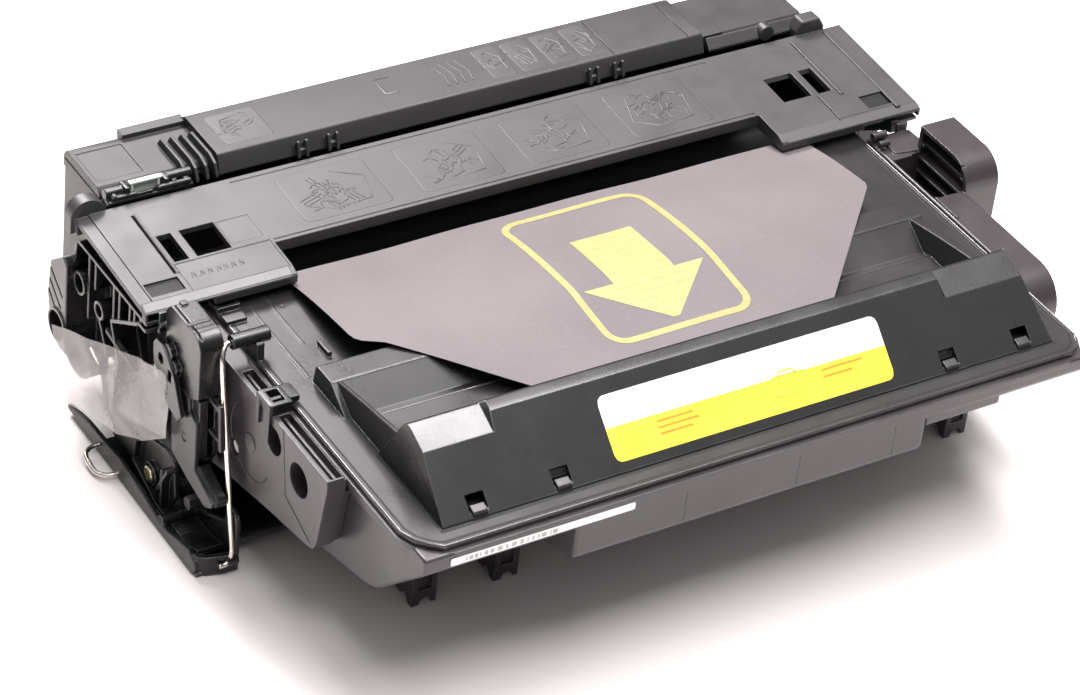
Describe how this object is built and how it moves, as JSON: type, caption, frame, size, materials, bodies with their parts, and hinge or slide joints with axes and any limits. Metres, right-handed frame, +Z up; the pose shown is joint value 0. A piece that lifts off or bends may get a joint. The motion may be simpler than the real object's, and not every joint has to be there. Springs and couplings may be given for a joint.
{
  "type": "toner cartridge",
  "caption": "Laser printer toner cartridge: long hopper with a ridge grip, joined to a drum and cleaning unit under a flat cover, with a sprung drum shutter on wire links.",
  "frame": {"origin": "centre of the footprint, on the surface the cartridge stands on", "axes": "+X along the long side from the link end to the gear end, +Y from the hopper flange to the waste tank, +Z up"},
  "size_m": [0.3385, 0.2378, 0.1012],
  "materials": {
    "black_moulding": "fine satin moulded surface",
    "hopper_moulding": "fine satin moulded surface, slightly lighter",
    "grip_moulding": "satin moulded surface",
    "bright_steel": "bright drawn or rolled steel",
    "plated_screw": "yellow plated screw",
    "drum_coating": "glossy green-blue coating on a metal tube",
    "white_gear": "natural acetal",
    "roller_rubber": "matte rubber",
    "dark_paper": "uncoated dark grey paper with a printed yellow arrow",
    "label_print": "coated label, white above and yellow below",
    "clear_film": "translucent film",
    "sleeve_metal": "dark coated aluminium sleeve"
  },
  "bodies": {
    "cartridge": {"cleaning_unit_cover": "black_moulding", "waste_tank_frame": "black_moulding", "waste_tank_lid": "black_moulding", "left_end_plate": "black_moulding", "right_end_plate": "black_moulding", "left_knuckle_block": "black_moulding", "latch_clip": "black_moulding", "hopper_case": "hopper_moulding", "hopper_lid": "hopper_moulding", "left_end_cover": "hopper_moulding", "right_end_cover": "hopper_moulding", "grip_cover": "grip_moulding", "wiper_holder": "bright_steel", "drum_axle_pin": "bright_steel", "earth_contact": "bright_steel", "doctor_bracket": "bright_steel", "idler_pin": "bright_steel", "screw_left": "plated_screw", "screw_right": "plated_screw", "drum_bearing_left": "white_gear", "drum_bearing_right": "white_gear", "charge_bearing_left": "white_gear", "charge_bearing_right": "white_gear", "bearing_clip": "white_gear", "fill_plug": "white_gear", "wiper_blade": "roller_rubber", "doctor_blade": "roller_rubber", "magnet_core": "roller_rubber", "protective_sheet": "dark_paper", "front_label": "label_print", "edge_strip_label": "clear_film", "pull_tape": "clear_film"},
    "drum": {"drum_tube": "drum_coating", "drum_hub": "white_gear", "drum_gear": "white_gear"},
    "charge_roller": {"charge_roller_shaft": "bright_steel", "charge_roller_rubber": "roller_rubber"},
    "shutter": {"drum_shutter": "black_moulding", "shutter_wire_left": "bright_steel", "shutter_wire_right": "bright_steel", "shutter_loop_wire": "bright_steel", "pivot_pin": "black_moulding"},
    "developer": {"developer_sleeve": "sleeve_metal", "developer_gear": "white_gear"},
    "idler": {"idler_gear": "white_gear"},
    "agitator": {"agitator_shaft": "white_gear", "agitator_film": "clear_film", "agitator_gear": "white_gear"}
  },
  "joints": [
    {"name": "drum_spin", "type": "hinge", "parent": "cartridge", "child": "drum", "pos_m": [-0.12835, 0.06228, 0.0365], "axis": [1, 0, 0], "continuous": true},
    {"name": "charge_spin", "type": "hinge", "parent": "cartridge", "child": "charge_roller", "pos_m": [-0.12235, 0.06672, 0.05738], "axis": [1, 0, 0], "continuous": true},
    {"name": "developer_spin", "type": "hinge", "parent": "cartridge", "child": "developer", "pos_m": [-0.12435, 0.03933, 0.0325], "axis": [1, 0, 0], "continuous": true},
    {"name": "idler_spin", "type": "hinge", "parent": "cartridge", "child": "idler", "pos_m": [0.13925, 0.01964, 0.03836], "axis": [1, 0, 0], "continuous": true},
    {"name": "agitator_spin", "type": "hinge", "parent": "cartridge", "child": "agitator", "pos_m": [-0.10235, -0.00772, 0.0465], "axis": [1, 0, 0], "continuous": true},
    {"name": "shutter_swing", "type": "hinge", "parent": "cartridge", "child": "shutter", "pos_m": [-0.15585, -0.00002, 0.086], "axis": [-1, 0, 0], "range_deg": [0, 20], "stiffness_Nm_per_rad": 0.06, "springref_deg": -57.3}
  ],
  "couplings": [
    {"joint": "charge_spin", "follows": "drum_spin", "ratio": -2.5},
    {"joint": "developer_spin", "follows": "drum_spin", "ratio": -1.5385},
    {"joint": "idler_spin", "follows": "drum_spin", "ratio": 1.25},
    {"joint": "agitator_spin", "follows": "drum_spin", "ratio": -0.83333}
  ]
}
